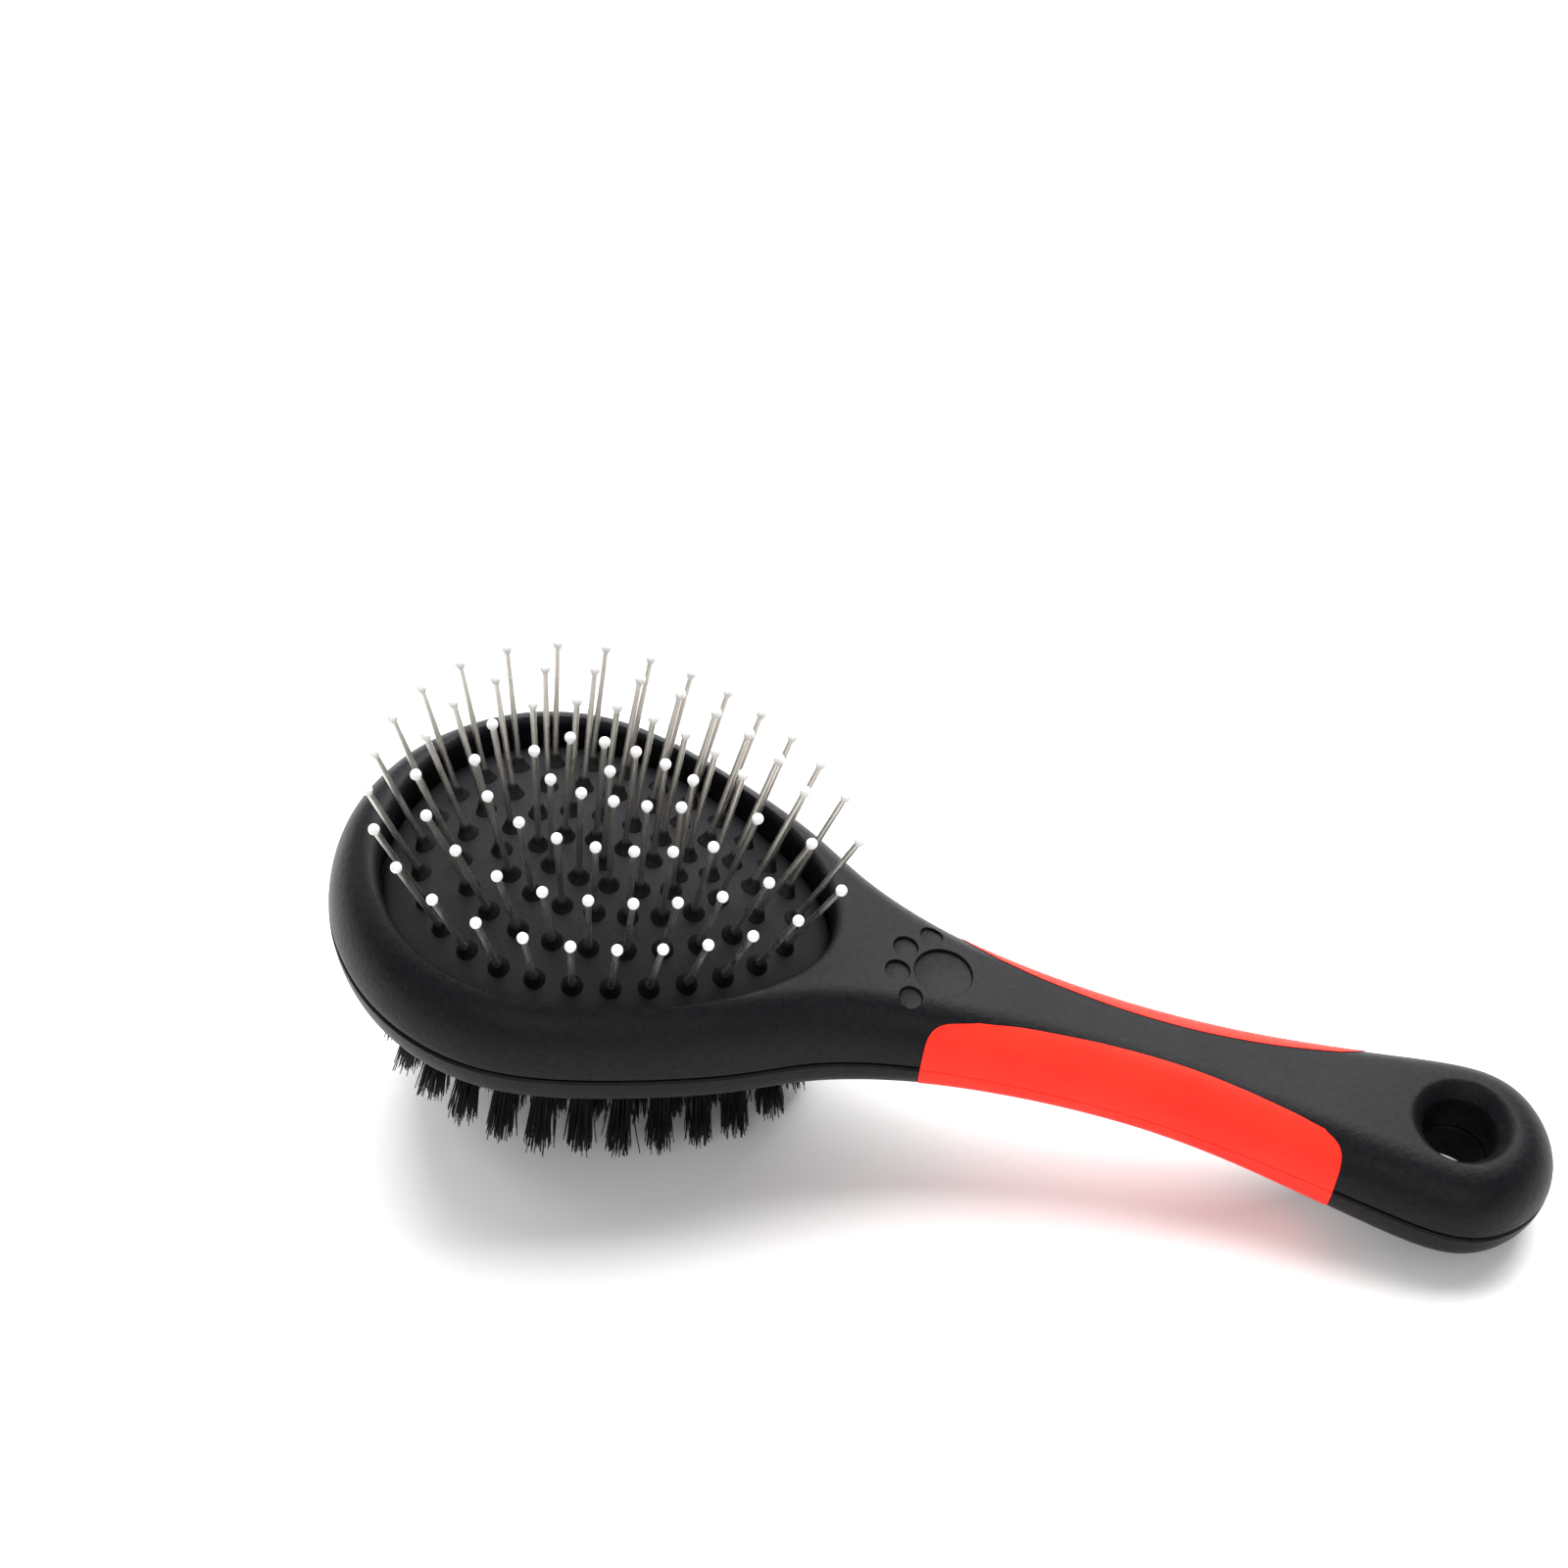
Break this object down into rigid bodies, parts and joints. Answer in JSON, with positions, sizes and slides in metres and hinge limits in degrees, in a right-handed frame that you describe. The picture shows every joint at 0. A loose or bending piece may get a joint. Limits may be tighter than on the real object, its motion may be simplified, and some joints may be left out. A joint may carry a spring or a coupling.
{
  "type": "pet grooming brush",
  "caption": "Double-sided pet brush: ball-tipped pins in a domed rubber cushion on one face, bristle tufts on the other, black shells, red side grips and a hanging hole.",
  "frame": {"origin": "centre of the brush's bounding box in plan, at the level of the bristle tips", "axes": "+X from the head to the handle end along the brush, +Y to the left of the pin side, +Z out of the pin side"},
  "size_m": [0.22, 0.0798, 0.0704],
  "materials": {
    "shell_plastic": "fine matte texture",
    "grip_rubber": "smooth satin soft grip",
    "cushion_rubber": "matte rubber",
    "pin_steel": "bright drawn wire",
    "ball_tip_nylon": "smooth white beads on the pin ends",
    "bristle_nylon": "fine satin filaments"
  },
  "bodies": {
    "brush_body": {"pin_side_shell": "shell_plastic", "bristle_side_shell": "shell_plastic", "grip_left_upper": "grip_rubber", "grip_right_upper": "grip_rubber", "grip_left_lower": "grip_rubber", "grip_right_lower": "grip_rubber", "bristle_row_outer_1": "bristle_nylon", "bristle_row_outer_2": "bristle_nylon", "bristle_row_outer_3": "bristle_nylon", "bristle_row_outer_4": "bristle_nylon", "bristle_row_second_1": "bristle_nylon", "bristle_row_second_2": "bristle_nylon", "bristle_row_second_3": "bristle_nylon", "bristle_row_third_1": "bristle_nylon", "bristle_row_third_2": "bristle_nylon", "bristle_row_centre": "bristle_nylon"},
    "cushion": {"cushion_pad": "cushion_rubber", "pin_row_outer_1": "pin_steel", "pin_row_outer_2": "pin_steel", "pin_row_outer_3": "pin_steel", "pin_row_outer_4": "pin_steel", "pin_row_second_1": "pin_steel", "pin_row_second_2": "pin_steel", "pin_row_second_3": "pin_steel", "pin_row_third_1": "pin_steel", "pin_row_third_2": "pin_steel", "pin_row_centre": "pin_steel"}
  },
  "joints": [
    {"name": "cushion_press", "type": "slide", "parent": "brush_body", "child": "cushion", "axis": [0, 0, -1], "range_m": [0, 0.0025], "stiffness_N_per_m": 4000}
  ]
}
